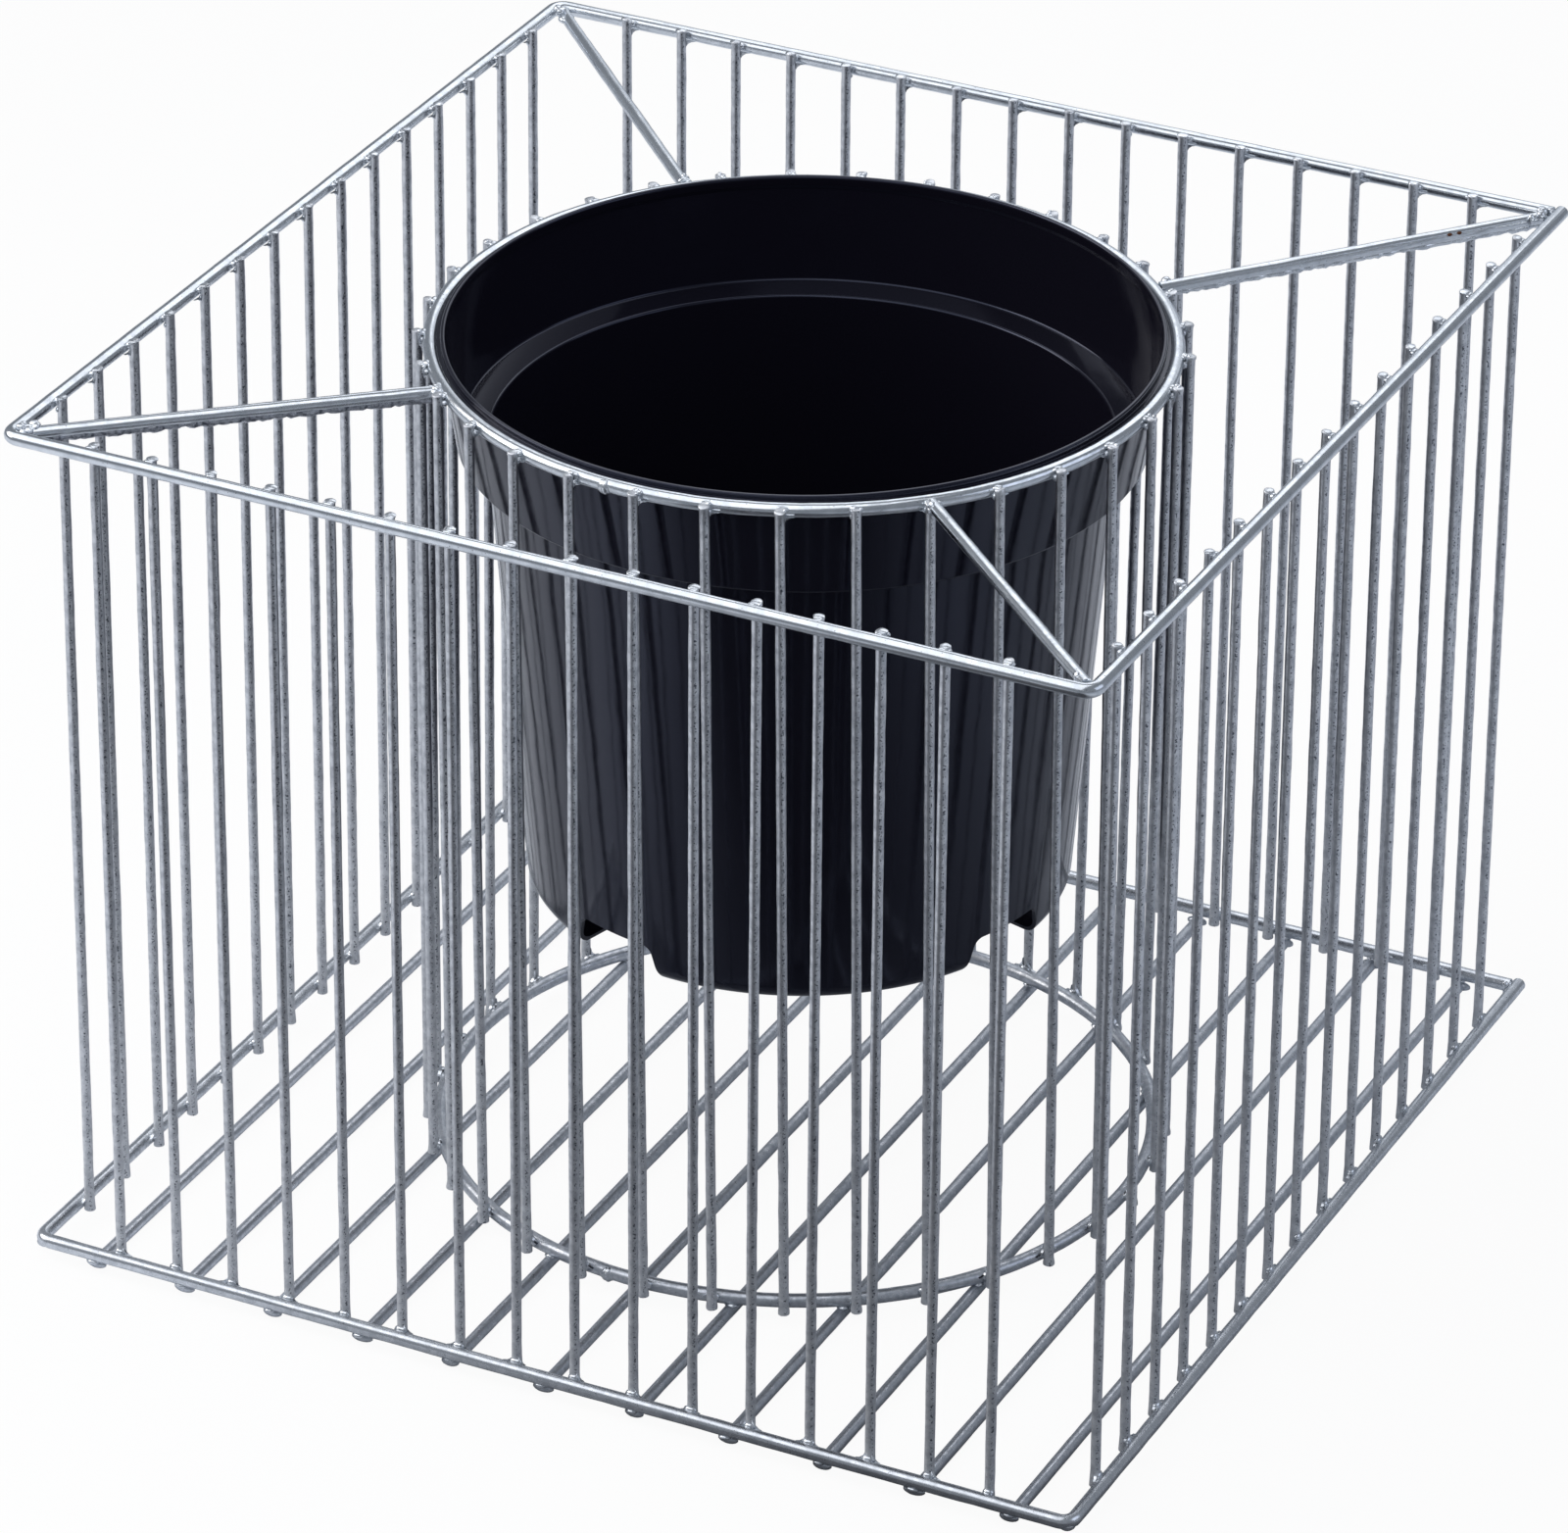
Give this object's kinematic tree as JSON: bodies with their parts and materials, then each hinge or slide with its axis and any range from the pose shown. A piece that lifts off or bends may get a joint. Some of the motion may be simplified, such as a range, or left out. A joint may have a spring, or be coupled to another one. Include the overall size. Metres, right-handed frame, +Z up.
{
  "type": "gabion planter",
  "caption": "Square welded wire cage with a wire cylinder in its middle that carries a tapered plastic pot by its rim; stones fill the space between cage and cylinder.",
  "frame": {"origin": "on the floor, under the middle of the square cage", "axes": "+Z up, -Y the front, +X to the right seen from the front; the base wires run along Y"},
  "size_m": [0.4, 0.4, 0.323],
  "materials": {
    "frame_wire": "hot-dip galvanised, fairly bright, with runs",
    "cage_wire": "hot-dip galvanised, satin, with small pits",
    "upright_wire": "hot-dip galvanised, satin, with small pits",
    "spoke_wire": "hot-dip galvanised, fairly bright, with runs",
    "base_wire": "hot-dip galvanised, satin",
    "pot_plastic": "moulded, glossy black"
  },
  "bodies": {
    "cage": {"top_frame": "frame_wire", "top_ring": "frame_wire", "bottom_ring": "frame_wire", "grille_front": "cage_wire", "grille_right": "cage_wire", "grille_back": "cage_wire", "grille_left": "cage_wire", "spoke_front_left": "spoke_wire", "spoke_front_right": "spoke_wire", "spoke_back_right": "spoke_wire", "spoke_back_left": "spoke_wire", "base_wire_01": "base_wire", "base_wire_02": "base_wire", "base_wire_03": "base_wire", "base_wire_04": "base_wire", "base_wire_05": "base_wire", "base_wire_06": "base_wire", "base_wire_07": "base_wire", "base_wire_08": "base_wire", "base_wire_09": "base_wire", "base_wire_10": "base_wire", "base_wire_11": "base_wire", "inner_upright_01": "upright_wire", "inner_upright_02": "upright_wire", "inner_upright_03": "upright_wire", "inner_upright_04": "upright_wire", "inner_upright_05": "upright_wire", "inner_upright_06": "upright_wire", "inner_upright_07": "upright_wire", "inner_upright_08": "upright_wire", "inner_upright_09": "upright_wire", "inner_upright_10": "upright_wire", "inner_upright_11": "upright_wire", "inner_upright_12": "upright_wire", "inner_upright_13": "upright_wire", "inner_upright_14": "upright_wire", "inner_upright_15": "upright_wire", "inner_upright_16": "upright_wire", "inner_upright_17": "upright_wire", "inner_upright_18": "upright_wire", "inner_upright_19": "upright_wire", "inner_upright_20": "upright_wire", "inner_upright_21": "upright_wire", "inner_upright_22": "upright_wire", "inner_upright_23": "upright_wire", "inner_upright_24": "upright_wire", "inner_upright_25": "upright_wire", "inner_upright_26": "upright_wire", "inner_upright_27": "upright_wire", "inner_upright_28": "upright_wire", "inner_upright_29": "upright_wire", "inner_upright_30": "upright_wire", "inner_upright_31": "upright_wire", "inner_upright_32": "upright_wire", "inner_upright_33": "upright_wire"},
    "pot": {"pot": "pot_plastic"}
  },
  "joints": [
    {"name": "pot_lift", "type": "slide", "parent": "cage", "child": "pot", "axis": [0, 0, 1], "range_m": [0, 0.24]}
  ]
}
